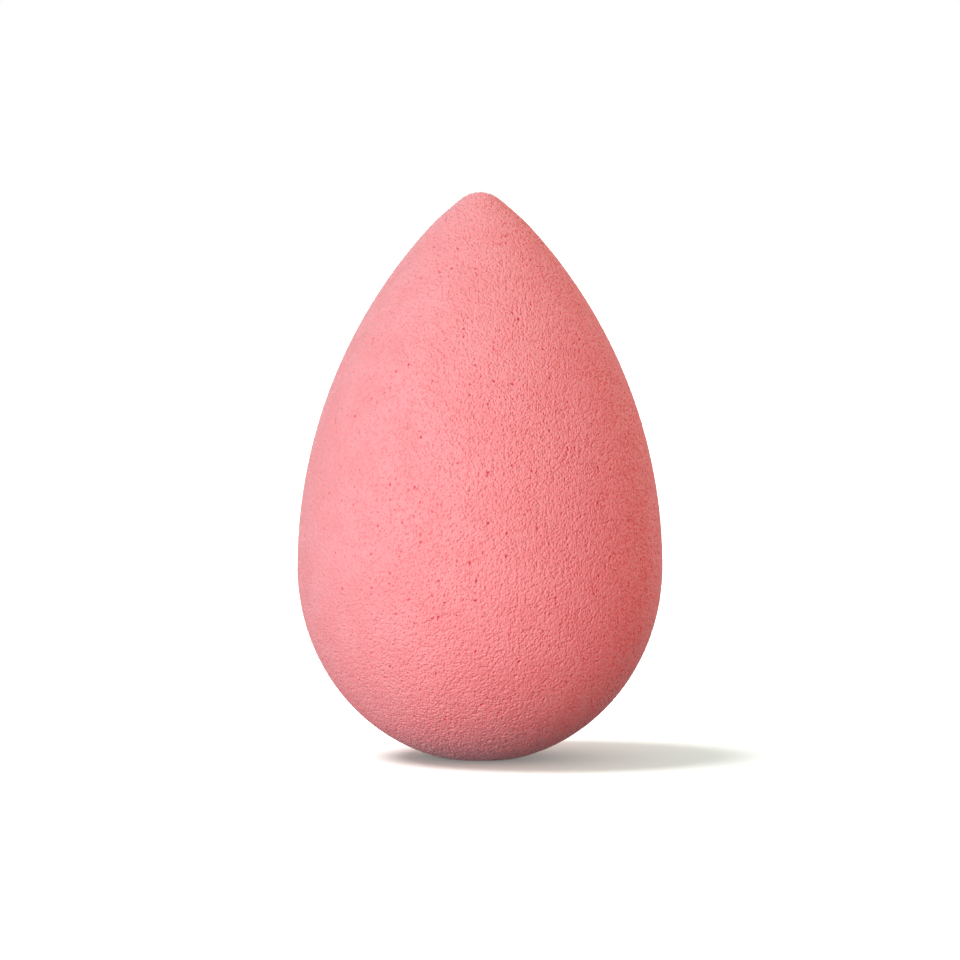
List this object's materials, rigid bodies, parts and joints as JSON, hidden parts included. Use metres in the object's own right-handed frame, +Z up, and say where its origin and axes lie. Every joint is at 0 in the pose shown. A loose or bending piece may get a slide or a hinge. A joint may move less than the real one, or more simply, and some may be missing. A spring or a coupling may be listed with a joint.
{
  "type": "makeup sponge",
  "caption": "Teardrop makeup sponge of soft pink open-cell foam, with a rounded tip for small areas, a broad belly for blending and a small flat foot.",
  "frame": {"origin": "middle of the flat foot, on the surface that the sponge stands on", "axes": "+Z up the sponge's axis of revolution, from the foot to the tip; X and Y are level, and any turn about Z is the same"},
  "size_m": [0.04, 0.04, 0.062],
  "materials": {
    "foam": "matte pink open-cell polyurethane foam with fine grain and small darker pores"
  },
  "bodies": {
    "root": {"sponge_body": "foam"}
  },
  "joints": []
}
